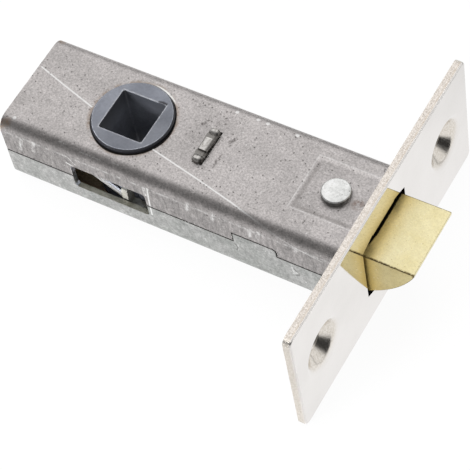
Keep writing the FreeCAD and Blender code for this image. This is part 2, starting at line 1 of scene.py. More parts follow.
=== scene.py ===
"""The looks of a tubular door latch: bare and plated steel, a bright faceplate, a brass bolt, a plastic hub.

Metres, in the latch's own frame: X along the case towards the bolt, Y along the faceplate, Z along the
spindle. Patterns read the piece's own coordinates in millimetres.
"""
from math import asin, atan2, cos, pi, radians, sin

import bpy
from mathutils import Matrix, Vector


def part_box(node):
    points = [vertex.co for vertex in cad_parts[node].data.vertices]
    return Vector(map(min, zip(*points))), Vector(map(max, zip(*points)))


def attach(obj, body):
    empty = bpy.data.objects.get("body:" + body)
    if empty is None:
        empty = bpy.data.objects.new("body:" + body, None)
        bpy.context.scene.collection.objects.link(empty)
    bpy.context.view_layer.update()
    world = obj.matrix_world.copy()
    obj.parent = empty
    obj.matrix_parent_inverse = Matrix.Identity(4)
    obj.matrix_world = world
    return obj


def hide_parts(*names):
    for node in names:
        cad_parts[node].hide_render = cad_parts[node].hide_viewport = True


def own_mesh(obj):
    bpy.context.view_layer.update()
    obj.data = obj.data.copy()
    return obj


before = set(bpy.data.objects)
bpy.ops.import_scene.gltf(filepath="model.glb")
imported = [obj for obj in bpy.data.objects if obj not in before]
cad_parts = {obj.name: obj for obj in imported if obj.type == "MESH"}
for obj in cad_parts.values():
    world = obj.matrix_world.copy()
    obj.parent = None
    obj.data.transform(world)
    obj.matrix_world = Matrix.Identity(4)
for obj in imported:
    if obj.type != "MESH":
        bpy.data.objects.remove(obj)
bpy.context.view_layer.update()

MM = 0.001

# Sizes of the latch that its looks are set by, in millimetres.
PLATE_BACK = -1.4
PLATE_HALF_WIDTH = 12.5
PLATE_HALF_LENGTH = 28.5
PLATE_ROUND = 0.45
SCREW_Y = 20.5
COUNTERSINK_RADIUS = 4.4
CASE_REAR = -65.0
CASE_SIDE = 9.8
CASE_TOP = 7.4
SHEET = 0.9
BEND_RADIUS = 2.2
WINDOW_HALF = 2.8
HOLE_RADIUS = 7.0
HUB_X = -45.0
HUB_FACE = 8.05
HUB_RADIUS = 6.9
SQUARE_HALF = 4.05
LUG_FRONT = -30.55
LUG_THICKNESS = 1.5
LUG_HALF = 3.4
MARK_START = 1.2
MARK_END = 2.2
BOLT_TOP = 4.9
BOLT_SIDE = 6.4
THROW = 8.3

# The recess in the web: its middle and half its size along each axis.
RECESS = (("X", -7.8, 6.4), ("Y", 0.8, 5.3))

# The way on the web that points from the hub away from the light.
SHADE_SIDE = (0.595, -0.804, 0)

# A near-black for the seam's dark gap, also laid on as painted shade and shadow.
DARK_GAP_AND_SHADE = (0.05, 0.045, 0.04)


def on_top(*places):
    """Points on the upper web."""
    return [(x, y, CASE_TOP) for x, y in places]


def on_side(*places):
    """Points on the side of the case that shows."""
    return [(x, -CASE_SIDE, z) for x, z in places]


SEAM = on_side((CASE_REAR, 0), (-22, 0), (-22, 2.2), (-14.7, 2.2), (-14.2, 2.0), (-14, 1.5), (-14, 0.4),
               (PLATE_BACK, 0.4))


# Modelling helpers

def pick(item):
    """Select this piece alone and make it active."""
    bpy.ops.object.select_all(action="DESELECT")
    item.select_set(True)
    bpy.context.view_layer.objects.active = item


def edit(item):
    """Open a piece in edit mode with everything selected."""
    pick(item)
    bpy.ops.object.mode_set(mode="EDIT")
    bpy.ops.mesh.select_all(action="SELECT")


def done():
    bpy.ops.object.mode_set(mode="OBJECT")


def choose(item, kind, test):
    """Select the faces or edges whose middle and direction, in millimetres, pass the test, in edit mode."""
    edit(item)
    bpy.ops.mesh.select_mode(type=kind)
    bpy.ops.mesh.select_all(action="DESELECT")
    done()
    mesh = item.data
    if kind == "FACE":
        for face in mesh.polygons:
            face.select = test(face.center / MM, face.normal)
    else:
        for edge in mesh.edges:
            first, second = (mesh.vertices[number].co for number in edge.vertices)
            edge.select = test((first + second) / 2 / MM, (second - first).normalized())
    bpy.ops.object.mode_set(mode="EDIT")


def modifier(item, kind, **settings):
    """Add a modifier, set it and apply it."""
    pick(item)
    added = item.modifiers.new(kind.title(), kind)
    for name, setting in settings.items():
        setattr(added, name, setting)
    bpy.ops.object.modifier_apply(modifier=added.name)


def smooth(item, angle=32):
    """Shade round forms smooth and keep flats flat."""
    pick(item)
    bpy.ops.object.shade_smooth_by_angle(angle=radians(angle))
    modifier(item, "WEIGHTED_NORMAL", keep_sharp=True, weight=80)


def casting(node, *finishes):
    """A new piece with the form of a frame node: doubles merged, flats joined and its finishes listed."""
    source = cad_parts[node]
    item = bpy.data.objects.new(f"{node}_finished", source.data.copy())
    bpy.context.scene.collection.objects.link(item)
    item.data.materials.clear()
    for finish in finishes:
        item.data.materials.append(finish.material)
    edit(item)
    bpy.ops.mesh.remove_doubles(threshold=0.001 * MM)
    bpy.ops.mesh.dissolve_limited(angle_limit=radians(0.5))
    done()
    return item


def ease(item, width, segments=2, angle=35, edge_finish=-1):
    """Round the sharp edges by a width in millimetres."""
    modifier(item, "BEVEL", width=width * MM, segments=segments, limit_method="ANGLE",
             angle_limit=radians(angle), material=edge_finish, use_clamp_overlap=True,
             miter_outer="MITER_ARC")


def round_edges(item, test, width, segments):
    """Round only the edges that pass the test."""
    choose(item, "EDGE", test)
    bpy.ops.mesh.bevel(offset=width * MM, segments=segments, profile=0.5, affect="EDGES")
    done()


def coat(item, number, test):
    """Give the faces that pass the test another of the piece's finishes."""
    for face in item.data.polygons:
        if test(face.center / MM, face.normal):
            face.material_index = number


def place(item, node, body):
    """Let a piece stand for a node and ride on its body."""
    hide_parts(node)
    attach(item, body)


# Finishes

class Nodes:
    """A tree of shader nodes that reads one set of coordinates. A value is a number, a colour or a socket."""

    def __init__(self, tree, coordinates):
        self.tree = tree
        self.point = self.add("TexCoord").outputs[coordinates]

    def add(self, kind, **settings):
        node = self.tree.nodes.new(f"ShaderNode{kind}")
        for name, setting in settings.items():
            setattr(node, name, setting)
        return node

    def put(self, socket, value):
        if isinstance(value, bpy.types.NodeSocket):
            self.tree.links.new(value, socket)
        elif isinstance(value, tuple) and len(value) == 3 and socket.type == "RGBA":
            socket.default_value = (*value, 1)
        else:
            socket.default_value = value

    def fill(self, node, values):
        for name, value in values.items():
            self.put(node.inputs[name], value)

    def number(self, operation, *values, clamp=False):
        node = self.add("Math", operation=operation, use_clamp=clamp)
        for socket, value in zip(node.inputs, values):
            self.put(socket, value)
        return node.outputs[0]

    def vector(self, operation, first, second=None, scale=None):
        node = self.add("VectorMath", operation=operation)
        self.put(node.inputs[0], first)
        if second is not None:
            self.put(node.inputs[1], second)
        if scale is not None:
            self.put(node.inputs["Scale"], scale)
        return node.outputs["Value" if operation in ("DISTANCE", "DOT_PRODUCT", "LENGTH") else "Vector"]

    def part(self, axis, source=None):
        node = self.add("SeparateXYZ")
        self.put(node.inputs[0], source or self.point)
        return node.outputs[axis]

    def chain(self, operation, values):
        """The operation on the first two values, then on that and the next, and so on."""
        whole = values[0]
        for value in values[1:]:
            whole = self.number(operation, whole, value)
        return whole

    def times(self, *values):
        return self.chain("MULTIPLY", values)

    def plus(self, *values):
        return self.chain("ADD", values)

    def most(self, *values):
        return self.chain("MAXIMUM", values)

    def inverse(self, mask):
        return self.number("SUBTRACT", 1.0, mask)

    def off(self, source, middle=0.0):
        """How far a value lies from a middle one, to either side."""
        return self.number("ABSOLUTE", self.number("SUBTRACT", source, middle))

    def between(self, source, low, high, first=0.0, last=1.0):
        """The first value at low and the last at high, eased."""
        node = self.add("MapRange", interpolation_type="SMOOTHSTEP")
        self.fill(node, {"Value": source, "From Min": low, "From Max": high, "To Min": first, "To Max": last})
        return node.outputs["Result"]

    def blend(self, share, first, second):
        node = self.add("Mix", data_type="RGBA")
        self.fill(node, {"Factor": share, 6: first, 7: second})
        return node.outputs[2]


class Finish(Nodes):
    """A procedural finish in the piece's own millimetres, whose colour is laid on in coats."""

    def __init__(self, name, metallic, roughness):
        self.material = bpy.data.materials.new(name)
        self.material.use_nodes = True
        super().__init__(self.material.node_tree, "Object")
        self.shader = self.tree.nodes["Principled BSDF"]
        self.fill(self.shader, {"Metallic": metallic, "Roughness": roughness})
        self.point = self.vector("SCALE", self.point, scale=1 / MM)
        self.colour = None

    def noise(self, per_mm, detail, roughness, stretch=(1, 1, 1), shift=(0, 0, 0)):
        """Cloudy noise from 0 to 1, with so many features to the millimetre."""
        node = self.add("TexNoise")
        moved = self.vector("ADD", self.vector("MULTIPLY", self.point, stretch), shift)
        self.fill(node, {"Vector": moved, "Scale": per_mm, "Detail": detail, "Roughness": roughness})
        return node.outputs["Fac"]

    def specks(self, per_mm, size, share, shift=(0, 0, 0)):
        """Round spots of a size in millimetres on a share of the cells."""
        node = self.add("TexVoronoi")
        self.fill(node, {"Vector": self.vector("ADD", self.point, shift), "Scale": per_mm})
        spot = self.between(node.outputs["Distance"], size * per_mm, size * per_mm * 0.5)
        return self.times(spot, self.number("LESS_THAN", self.part("X", node.outputs["Color"]), share))

    def spread(self, source, low, high):
        """The noise, which is mostly between 0.3 and 0.7, stretched over a range of values and held to it."""
        node = self.add("MapRange")
        self.fill(node, {"Value": source, "From Min": 0.3, "From Max": 0.7, "To Min": low, "To Max": high})
        return node.outputs["Result"]

    def near(self, middle, low, high):
        """A round spot: 0 at one distance from its middle and 1 at the other."""
        return self.between(self.vector("DISTANCE", self.point, middle), low, high)

    def stroke(self, points, width):
        """A scratch along a line of points on the surface, in millimetres."""
        distances = []
        for start, end in zip(points, points[1:]):
            start, end = Vector(start), Vector(end)
            along = end - start
            away = self.vector("SUBTRACT", self.point, tuple(start))
            run = self.vector("DOT_PRODUCT", away, tuple(along / along.length_squared))
            held = self.number("MULTIPLY", run, 1.0, clamp=True)
            foot = self.vector("SCALE", tuple(along), scale=held)
            distances.append(self.vector("DISTANCE", away, foot))
        return self.between(self.chain("MINIMUM", distances), width, width * 0.35)

    def strokes(self, lines, width=None):
        """Scratches of one width, or a list of scratches with the width of each."""
        if width is not None:
            lines = [(points, width) for points in lines]
        return self.most(*[self.stroke(points, own_width) for points, own_width in lines])

    def in_shade(self, low, high):
        """The side of the hub that turns away from the light, by its reach in millimetres."""
        from_hub = self.vector("SUBTRACT", self.point, (HUB_X, 0, 0))
        return self.between(self.vector("DOT_PRODUCT", from_hub, SHADE_SIDE), low, high)

    def ground(self, cloud, low, high, first, second):
        """Start with a colour that goes over into a second one in clouds."""
        self.colour = self.blend(self.between(cloud, low, high), first, second)

    def shade(self, amount):
        """Make the colour darker or lighter by a factor."""
        self.colour = self.vector("SCALE", self.colour, scale=amount)

    def paint(self, colour, *masks):
        """Lay a colour on where the product of the masks is 1."""
        self.colour = self.blend(self.times(*masks), self.colour, colour)

    def use(self, roughness, height=None, depth=None):
        """Wire the finish: colour, roughness, and a relief whose depth is in millimetres."""
        self.fill(self.shader, {"Base Color": self.colour, "Roughness": roughness})
        if height is not None:
            bump = self.add("Bump")
            self.fill(bump, {"Distance": depth * MM, "Strength": 1, "Height": height})
            self.fill(self.shader, {"Normal": bump.outputs["Normal"]})
        return self


def bare_steel():
    """Upper half: cold rolled sheet with a matt, finely pitted skin, scribed across when it was assembled."""
    finish = Finish("bare_rolled_steel", 1.0, 0.4)
    mottle = finish.noise(0.75, 5, 0.65, shift=(7, 3, 1))
    grain = finish.noise(3.0, 5, 0.8, shift=(2, 9, 4))
    finish.ground(finish.noise(0.16, 4, 0.6), 0.35, 0.7, (0.530, 0.500, 0.492), (0.455, 0.430, 0.422))
    finish.shade(finish.spread(mottle, 0.90, 1.10))
    finish.shade(finish.spread(grain, 0.58, 1.42))
    hammered = finish.near((-33, 3.2, CASE_TOP), 7.5, 1.5)
    finish.shade(finish.spread(finish.times(hammered, mottle), 1.12, 0.9))
    flange = finish.between(finish.part("Z"), CASE_TOP - 0.8, CASE_TOP - BEND_RADIUS)
    # Painted shade: the flange below the bend is darkened by up to a third.
    finish.shade(finish.inverse(finish.times(flange, 0.34)))
    streaks = finish.noise(2.0, 5, 0.8, stretch=(1, 1, 0.22), shift=(1, 1, 9))
    finish.shade(finish.blend(flange, (1, 1, 1), finish.spread(streaks, 0.55, 1.45)))
    shade_recess(finish, grain, mottle)

    pits = finish.specks(1.6, 0.15, 0.26)
    near_lug = finish.times(finish.specks(1.1, 0.26, 0.55, shift=(1, 2, 3)), hammered)
    finish.paint((0.16, 0.145, 0.14), finish.most(finish.times(pits, 0.6), finish.times(near_lug, 0.75)))
    finish.paint((0.06, 0.05, 0.05), finish.specks(0.3, 0.26, 0.12, shift=(3, 1, 2)), 0.9)
    finish.paint((0.90, 0.89, 0.88), finish.specks(1.2, 0.16, 0.2, shift=(5, 5, 5)), 0.5)
    shade_hub_hole(finish, mottle)
    scratch_steel(finish, grain)

    draw_seam(finish)
    stain = finish.near((-4.6, 0.5, CASE_TOP - 0.3), 1.7, 0.3)
    finish.paint((0.22, 0.15, 0.12), stain, finish.between(mottle, 0.45, 0.6), 0.7)
    relief = finish.plus(finish.noise(2.2, 6, 0.8), finish.times(pits, -0.9))
    return finish.use(finish.spread(mottle, 0.34, 0.46), relief, 0.045)


def shade_recess(finish, grain, mottle):
    """The pressed recess, with its light and shade painted: painted shade inside, a pale rim that is partly
    wear and partly a painted highlight, a painted shadow at its foot and painted light on its far wall.
    """
    outside = finish.most(*[finish.number("SUBTRACT", finish.off(finish.part(axis), middle), half)
                            for axis, middle, half in RECESS])
    # Painted shade inside the recess.
    finish.shade(finish.spread(finish.between(outside, 0.0, -0.7), 1.02, 0.955))
    on_web = finish.between(finish.part("Z"), CASE_TOP - 0.6, CASE_TOP - 0.4)
    far_side = finish.between(finish.part("Y"), 4.6, 5.4)
    # Painted light on the recess's far wall.
    painted_light_far_wall = finish.times(finish.between(outside, 0.02, -0.06), finish.between(outside, -0.62, -0.5))
    finish.shade(finish.spread(finish.times(painted_light_far_wall, far_side), 1.0, 1.22))
    # Painted shadow at the foot of the recess's wall.
    painted_foot_shadow = finish.between(finish.off(outside, -0.65), 0.6, 0.05)
    finish.paint((0.24, 0.22, 0.21), painted_foot_shadow, on_web, finish.spread(mottle, 0.25, 0.6),
                 finish.inverse(far_side))
    # A pale line on the rim, partly wear and partly a painted highlight.
    rim_wear_and_highlight = finish.between(finish.off(outside), 0.18, 0.03)
    finish.paint((0.88, 0.86, 0.85), rim_wear_and_highlight, on_web, finish.spread(grain, 0.1, 0.7))


def shade_hub_hole(finish, mottle):
    """Round the hub's hole: rust, a painted shadow in the gap on one side and a painted highlight on the lip
    on the other.
    """
    axis = (HUB_X, 0, CASE_TOP)
    reach = finish.vector("DISTANCE", finish.point, axis)
    rust = finish.between(reach, HOLE_RADIUS + 0.9, HOLE_RADIUS + 0.2)
    finish.paint((0.30, 0.21, 0.14), rust, finish.between(mottle, 0.40, 0.62), 0.6)
    # Painted shadow in the gap on the side away from the light.
    shadow_end = finish.plus(HOLE_RADIUS + 0.13, finish.times(finish.in_shade(1.0, 6.5), 0.27))
    painted_shadow_crescent = finish.between(reach, shadow_end, finish.plus(shadow_end, -0.12))
    finish.paint((0.02, 0.018, 0.016), painted_shadow_crescent, finish.in_shade(-3.2, -1.8))
    # Painted highlight on the lit lip.
    lean = finish.vector("DOT_PRODUCT", finish.vector("SUBTRACT", finish.point, axis), (0.36, 0.93, 0))
    finish.paint((0.97, 0.96, 0.93), finish.between(reach, HOLE_RADIUS + 0.40, HOLE_RADIUS + 0.22),
                 finish.between(lean, HOLE_RADIUS - 0.5, HOLE_RADIUS + 0.05))


def scratch_steel(finish, grain):
    """What work and handling left on the upper half, each mark at its own place."""
    scribed = [on_top((-64.4, 2.8), (-59.9, 1.4), (-52.4, -0.8)),
               [*on_top((-38.8, -4.0), (-29.0, -6.1), (-22.1, -7.7)), (-18.6, -8.6, CASE_TOP - 0.15),
                (-14.6, -9.4, CASE_TOP - 0.9), (-10.0, -9.75, 5.4), (-5.6, -9.8, 4.5)]]
    scribe = finish.strokes(scribed, 0.19)
    worn = finish.number("MULTIPLY", scribe, finish.spread(grain, 0.75, 1.2), clamp=True)
    over_bend = finish.between(finish.part("Z"), CASE_TOP - 0.02, CASE_TOP - 0.6)
    finish.paint((0.93, 0.92, 0.91), worn, finish.inverse(finish.times(over_bend, 0.6)))

    ragged = finish.noise(1.4, 5, 0.8, stretch=(1, 1, 0.4), shift=(8, 0, 8))
    rubbed = [on_side((-61.1, 4.7), (-61.9, 1.6)), on_side((-58.6, 5.2), (-59.2, 2.7)),
              on_side((-37.6, 5.0), (-37.7, 3.2)), on_side((-29.4, 5.6), (-29.8, 3.8)),
              on_side((-24.9, 5.6), (-25.3, 3.2)), on_side((-18.3, 5.4), (-18.6, 3.5)),
              on_side((-16.8, 5.4), (-17.2, 3.2)), on_side((-10.0, 5.3), (-10.2, 4.3))]
    finish.paint((0.82, 0.81, 0.80), finish.strokes(rubbed, 0.5), finish.between(ragged, 0.42, 0.62))
    burrs = [on_side((-36.9, 5.3), (-37.15, 2.6), (-37.3, 0)), on_side((-52.6, 3.3), (-51.6, 3.0))]
    finish.paint((0.96, 0.96, 0.95), finish.strokes(burrs, 0.22), finish.spread(grain, 0.6, 1.2))
    bend_end = on_side((CASE_REAR, CASE_TOP - BEND_RADIUS), (PLATE_BACK, CASE_TOP - BEND_RADIUS))
    finish.paint((0.80, 0.79, 0.78), finish.stroke(bend_end, 0.35), finish.between(ragged, 0.40, 0.66), 0.7)

    rusty_corners = [([(-65, -9.3, 6.2), (-63.8, -8.8, 6.9)], 1.0),
                     ([(-65, 9.2, 6.8), (-64.2, 8.9, 7.2)], 0.8)]
    finish.paint((0.42, 0.27, 0.16), finish.strokes(rusty_corners), finish.between(grain, 0.35, 0.6), 0.7)
    scratches = [[(-49.65, -9.0, 6.9), (-47.75, -9.0, 6.9)], [(-47.36, -9.02, 6.88), (-45.85, -9.0, 6.9)],
                 [(-43.53, -8.73, 7.09), (-42.59, -8.73, 7.09)], [(-51.88, -9.8, 4.99), (-50.84, -9.8, 3.66)],
                 [(-53.81, -8.68, 7.12), (-52.46, -8.71, 7.1)]]
    finish.paint((0.92, 0.91, 0.90), finish.strokes(scratches, 0.14), finish.between(grain, 0.38, 0.55), 0.8)
    chips = on_top((-62.9, -7.9), (-19.2, 7.9), (-24.6, 8.0), (-26.4, 8.1), (-30.2, 8.0))
    finish.paint((0.95, 0.94, 0.93), finish.most(*[finish.near(chip, 0.42, 0.2) for chip in chips]), 0.9)
    bruises = [(on_top((-28.3, 2.3), (-27.7, 3.3)), 0.42), (on_top((-31.9, 4.6), (-30.9, 6.1)), 0.5),
               (on_top((-28.6, -3.0), (-28.2, -0.4)), 0.5), (on_top((-34.6, 2.8), (-33.5, 4.6)), 0.4),
               (on_side((-32.6, 1.5), (-32.5, 1.1)), 0.34), (on_side((-32.6, 2.7), (-32.5, 2.5)), 0.26),
               (on_side((-27.0, 0.8), (-26.8, 0.7)), 0.3)]
    broken_up = finish.between(finish.noise(1.7, 5, 0.8), 0.44, 0.60)
    finish.paint((0.13, 0.115, 0.11), finish.strokes(bruises), broken_up, 0.75)


def draw_seam(finish):
    """The dark gap between the case's halves."""
    finish.paint(DARK_GAP_AND_SHADE, finish.stroke(SEAM, 0.28), 0.9)


def cut_steel(name, low, high):
    """The sheared edges of the case's sheet, brighter than its skin where they were burred, with a painted
    shadow on the hub's hole on the side away from the light.
    """
    finish = Finish(name, 0.4, 0.35)
    patch = finish.noise(0.8, 5, 0.7)
    finish.ground(patch, 0.4, 0.6, low, high)
    # Painted shadow on the hole's edge on the side away from the light.
    painted_shadow_round_hub = finish.near((HUB_X, 0, CASE_TOP), HOLE_RADIUS + 0.9, HOLE_RADIUS + 0.6)
    finish.paint(DARK_GAP_AND_SHADE, painted_shadow_round_hub, finish.in_shade(-3.2, -1.8))
    return finish.use(finish.spread(patch, 0.28, 0.42))


def zinc_plate(name, base, deep, grit):
    """Dull zinc: a pale, faintly green skin with soft blotches and small bright nicks."""
    finish = Finish(name, 1.0, 0.4)
    mottle = finish.noise(0.9, 5, 0.7, shift=(3, 5, 7))
    grain = finish.noise(2.4, 5, 0.75, shift=(1, 6, 2))
    streaks = finish.noise(1.8, 5, 0.8, stretch=(1, 1, 0.3), shift=(9, 1, 9))
    finish.ground(finish.noise(0.25, 4, 0.6, shift=(4, 4, 0)), 0.35, 0.65, base, deep)
    for cloud, strength in ((mottle, 0.6), (grain, 1.0), (streaks, 0.5)):
        finish.shade(finish.spread(cloud, 1 - grit * strength, 1 + grit * strength))
    finish.paint((0.2, 0.2, 0.19), finish.specks(1.3, 0.17, 0.24, shift=(2, 2, 8)), 0.6)
    finish.paint((0.92, 0.92, 0.91), finish.specks(0.9, 0.18, 0.2, shift=(6, 1, 8)), 0.6)
    nicks = [on_side((-21.2, -0.8), (-21.4, -2.2)), on_side((-11.5, -0.9), (-11.2, -2.5)),
             on_side((-10.7, -1.9), (-11.3, -2.6))]
    finish.paint((0.85, 0.85, 0.84), finish.strokes(nicks, 0.28), finish.spread(grain, 0.4, 1.0), 0.8)
    bruises = [on_side((-21.7, -0.7), (-21.3, -1.5), (-21.6, -2.4)), on_side((-11.2, -1.1), (-10.6, -1.7)),
               on_side((-10.9, -2.8), (-10.3, -2.3))]
    finish.paint((0.16, 0.16, 0.15), finish.strokes(bruises, 0.2), 0.75)
    burr = on_side((-37.3, 0), (-37.36, -2.2))
    finish.paint((0.96, 0.96, 0.95), finish.stroke(burr, 0.22), 0.9)
    draw_seam(finish)
    return finish.use(finish.spread(grain, 0.34, 0.44), finish.noise(1.8, 5, 0.65), 0.025)


def bright_nickel():
    """Faceplate: polished nickel, almost a mirror on its face, grainy where the sheet was sheared."""
    finish = Finish("polished_nickel", 1.0, 0.08)
    depth = finish.part("X")
    across = finish.off(finish.part("Z"))
    along = finish.off(finish.part("Y"))
    long_round = finish.between(across, PLATE_HALF_WIDTH - PLATE_ROUND, PLATE_HALF_WIDTH - 0.1)
    short_round = finish.between(along, PLATE_HALF_LENGTH - PLATE_ROUND, PLATE_HALF_LENGTH - 0.1)
    rounded = finish.most(long_round, short_round)
    rim = finish.between(across, PLATE_HALF_WIDTH - 0.16, PLATE_HALF_WIDTH - 0.04)
    grain = finish.noise(4.2, 5, 0.8)
    coarse = finish.between(grain, 0.32, 0.68)
    haze = finish.noise(0.12, 3, 0.5, shift=(3, 3, 3))
    finish.ground(haze, 0.35, 0.7, (0.842, 0.816, 0.795), (0.80, 0.775, 0.752))
    sunk = finish.between(depth, -0.05, -0.5)
    finish.paint(finish.blend(coarse, (0.62, 0.57, 0.50), (0.86, 0.82, 0.77)), sunk)

    sheared = finish.blend(coarse, (0.40, 0.355, 0.31), (0.78, 0.735, 0.69))
    break_line = finish.between(finish.off(depth, -0.42), 0.2, 0.05)
    break_line = finish.times(break_line, finish.spread(finish.noise(1.1, 4, 0.7), 0.0, 0.8))
    sheared = finish.blend(break_line, sheared, (0.52, 0.45, 0.37))
    burnished = finish.between(depth, -0.38, -0.25)
    sheared = finish.blend(finish.times(burnished, 0.7), sheared, (0.83, 0.80, 0.77))
    finish.paint(sheared, rim)
    finish.paint((0.10, 0.08, 0.07), finish.specks(0.35, 0.3, 0.25, shift=(0, 3, 0)), rim, 0.75)

    satin = finish.most(finish.times(long_round, 0.5), finish.times(rounded, 0.16))
    finish.fill(finish.shader, {"Metallic": finish.inverse(satin)})
    roughness = finish.plus(finish.spread(haze, 0.05, 0.09), finish.times(rounded, 0.4),
                            finish.times(sunk, 0.14))
    return finish.use(roughness, finish.times(grain, rim), 0.03)


def brass(name, base, deep, tarnish):
    """Brass drawn to shape: satin, finely speckled, with a painted reflection near the plate and painted
    black shadow where it never leaves the case.
    """
    finish = Finish(name, 1.0, 0.3)
    out = finish.part("X")
    grain = finish.noise(2.6, 5, 0.75)
    finish.ground(finish.noise(0.3, 3, 0.6, shift=(1, 8, 3)), 0.3, 0.7, base, deep)
    # Darker and browner towards the bottom, by the share given.
    finish.paint((0.50, 0.38, 0.13), finish.between(finish.part("Z"), 1.0, -4.5), tarnish)
    # Painted reflection: a deeper yellow near the plate, where the plate's face mirrors the bolt back onto
    # it.
    finish.paint((0.76, 0.56, 0.15), finish.between(out, 3.4, 0.1), 0.65)
    finish.shade(finish.spread(grain, 0.84, 1.16))
    finish.paint((0.42, 0.31, 0.10), finish.specks(1.6, 0.13, 0.3), 0.45)
    finish.paint((0.98, 0.93, 0.74), finish.specks(1.4, 0.13, 0.2, shift=(4, 4, 1)), 0.5)

    near_root, far_root = (0, -BOLT_SIDE, BOLT_TOP), (0, BOLT_SIDE, BOLT_TOP)
    near_nose, far_nose = (THROW, -BOLT_SIDE, BOLT_TOP), (THROW, BOLT_SIDE, BOLT_TOP)
    under_nose = (THROW, -BOLT_SIDE, BOLT_TOP - 0.5)
    edges = ((near_root, near_nose, 0.38, 1.0), (near_nose, far_nose, 0.18, 0.15),
             (far_nose, far_root, 0.24, 0.6), (near_nose, under_nose, 0.5, 1.0))
    gathered = finish.most(*[finish.times(finish.stroke([start, end], width), strength)
                             for start, end, width, strength in edges])
    finish.paint((0.10, 0.065, 0.02), gathered, finish.between(finish.noise(2.4, 5, 0.75), 0.36, 0.54), 0.85)
    ragged = finish.plus(out, finish.spread(finish.noise(2.0, 4, 0.7), -0.05, 0.05))
    shallow = finish.times(finish.between(finish.part("Y"), -1.5, -6.2), 0.5)
    # Painted shadow: black where the bolt runs into the plate's hole, and rougher there too.
    painted_hole_shadow = finish.between(finish.plus(ragged, shallow), -0.02, -0.26)
    finish.paint((0.012, 0.010, 0.006), painted_hole_shadow)
    rubbed = finish.between(out, 1.8, 0.3)
    roughness = finish.plus(finish.spread(grain, 0.24, 0.38), finish.times(painted_hole_shadow, 0.4),
                            finish.times(rubbed, 0.22))
    return finish.use(roughness, finish.noise(2.6, 4, 0.6), 0.012)


def tarnished_edge():
    """The bolt's edges, where brown tarnish gathers."""
    finish = Finish("tarnished_brass_edge", 1.0, 0.45)
    patch = finish.noise(2.2, 5, 0.75)
    finish.ground(patch, 0.42, 0.64, (0.035, 0.022, 0.006), (0.46, 0.34, 0.12))
    return finish.use(finish.spread(patch, 0.4, 0.55))


def moulded_plastic():
    """Hub: blue-grey plastic with a faint matt texture, with painted shading across its face, painted shade
    down in the square and on its wall, a painted shadow on its rim away from the light, and painted light
    where it shows inside the case.
    """
    finish = Finish("blue_grey_plastic", 0.0, 0.42)
    from_axis = finish.vector("MULTIPLY", finish.vector("SUBTRACT", finish.point, (HUB_X, 0, 0)), (1, 1, 0))
    lengthwise = finish.part("X", from_axis)
    sideways = finish.part("Y", from_axis)
    height = finish.off(finish.part("Z"))
    grain = finish.noise(2.4, 5, 0.65)
    finish.ground(finish.noise(0.2, 3, 0.5), 0.35, 0.65, (0.118, 0.125, 0.145), (0.090, 0.096, 0.114))
    finish.shade(finish.spread(grain, 0.86, 1.14))
    # Painted shading: the face grows lighter towards its far rear side and darker towards the near front.
    lean = finish.number("SUBTRACT", sideways, lengthwise)
    finish.shade(finish.spread(finish.between(lean, -9.0, 9.0), 0.84, 1.16))

    from_middle = finish.most(finish.off(lengthwise), finish.off(sideways))
    in_square = finish.between(from_middle, SQUARE_HALF + 0.25, SQUARE_HALF + 0.1)
    deep = finish.between(height, HUB_FACE - 0.1, HUB_FACE - 5.0)
    # Painted shade down in the mouth of the square.
    painted_shade_in_mouth = finish.times(in_square, finish.number("SUBTRACT", 0.62, finish.times(deep, 0.72)))
    finish.shade(finish.inverse(painted_shade_in_mouth))
    # Painted light: the hub is made up to 4.6 times as bright where it shows inside the case.
    painted_light_inside_case = finish.times(finish.between(height, 6.2, 5.4),
                               finish.between(from_middle, SQUARE_HALF + 0.25, SQUARE_HALF + 0.55))
    finish.shade(finish.plus(1.0, finish.times(painted_light_inside_case, 3.6)))

    reach = finish.vector("LENGTH", from_axis)
    wall = finish.times(finish.between(reach, HUB_RADIUS - 0.5, HUB_RADIUS - 0.15),
                        finish.between(height, 6.8, 7.1))
    sunk = finish.between(height, HUB_FACE - 0.2, HUB_FACE - 0.4)
    shaded = finish.times(finish.between(reach, HUB_RADIUS - 0.3, HUB_RADIUS - 0.18),
                          finish.in_shade(-2.8, -1.4))
    # Painted shade on the hub's wall down in the case's hole, and a painted shadow on its rim on the side
    # away from the light.
    finish.paint((0.010, 0.010, 0.012), finish.most(finish.times(wall, sunk), shaded), 0.95)
    # A pale line round the mouth of the square.
    pale_square_rim = finish.times(finish.between(from_middle, SQUARE_HALF + 0.27, SQUARE_HALF + 0.07),
                         finish.between(height, HUB_FACE - 0.3, HUB_FACE - 0.1))
    finish.paint((0.34, 0.35, 0.38), pale_square_rim, finish.spread(grain, 0.2, 0.8))
    nick = finish.stroke([(-42.3, 4.1, HUB_FACE), (-41.8, 4.25, HUB_FACE), (-41.2, 4.2, HUB_FACE)], 0.42)
    finish.paint((0.02, 0.02, 0.025), nick)
    specular = finish.times(finish.inverse(finish.times(deep, in_square)), 0.5)
    finish.fill(finish.shader, {"Specular IOR Level": specular})
    return finish.use(finish.spread(grain, 0.38, 0.50), grain, 0.012)


def rubbed_and_highlit_plastic():
    """The hub's edges, paler, partly rubbed and partly a painted highlight, with a painted shadow on the
    outer edge away from the light.
    """
    finish = Finish("rubbed_and_highlit_plastic_edge", 0.0, 0.38)
    patch = finish.noise(1.6, 4, 0.6)
    # Paler than the face: partly rubbed, partly a painted highlight.
    finish.ground(patch, 0.4, 0.6, (0.17, 0.18, 0.205), (0.30, 0.31, 0.34))
    # Painted shadow on the outer edge away from the light.
    outer = finish.near((HUB_X, 0, HUB_FACE), HUB_RADIUS - 0.28, HUB_RADIUS - 0.15)
    finish.paint((0.015, 0.015, 0.018), outer, finish.in_shade(-2.8, -1.4))
    return finish.use(finish.spread(patch, 0.32, 0.44))


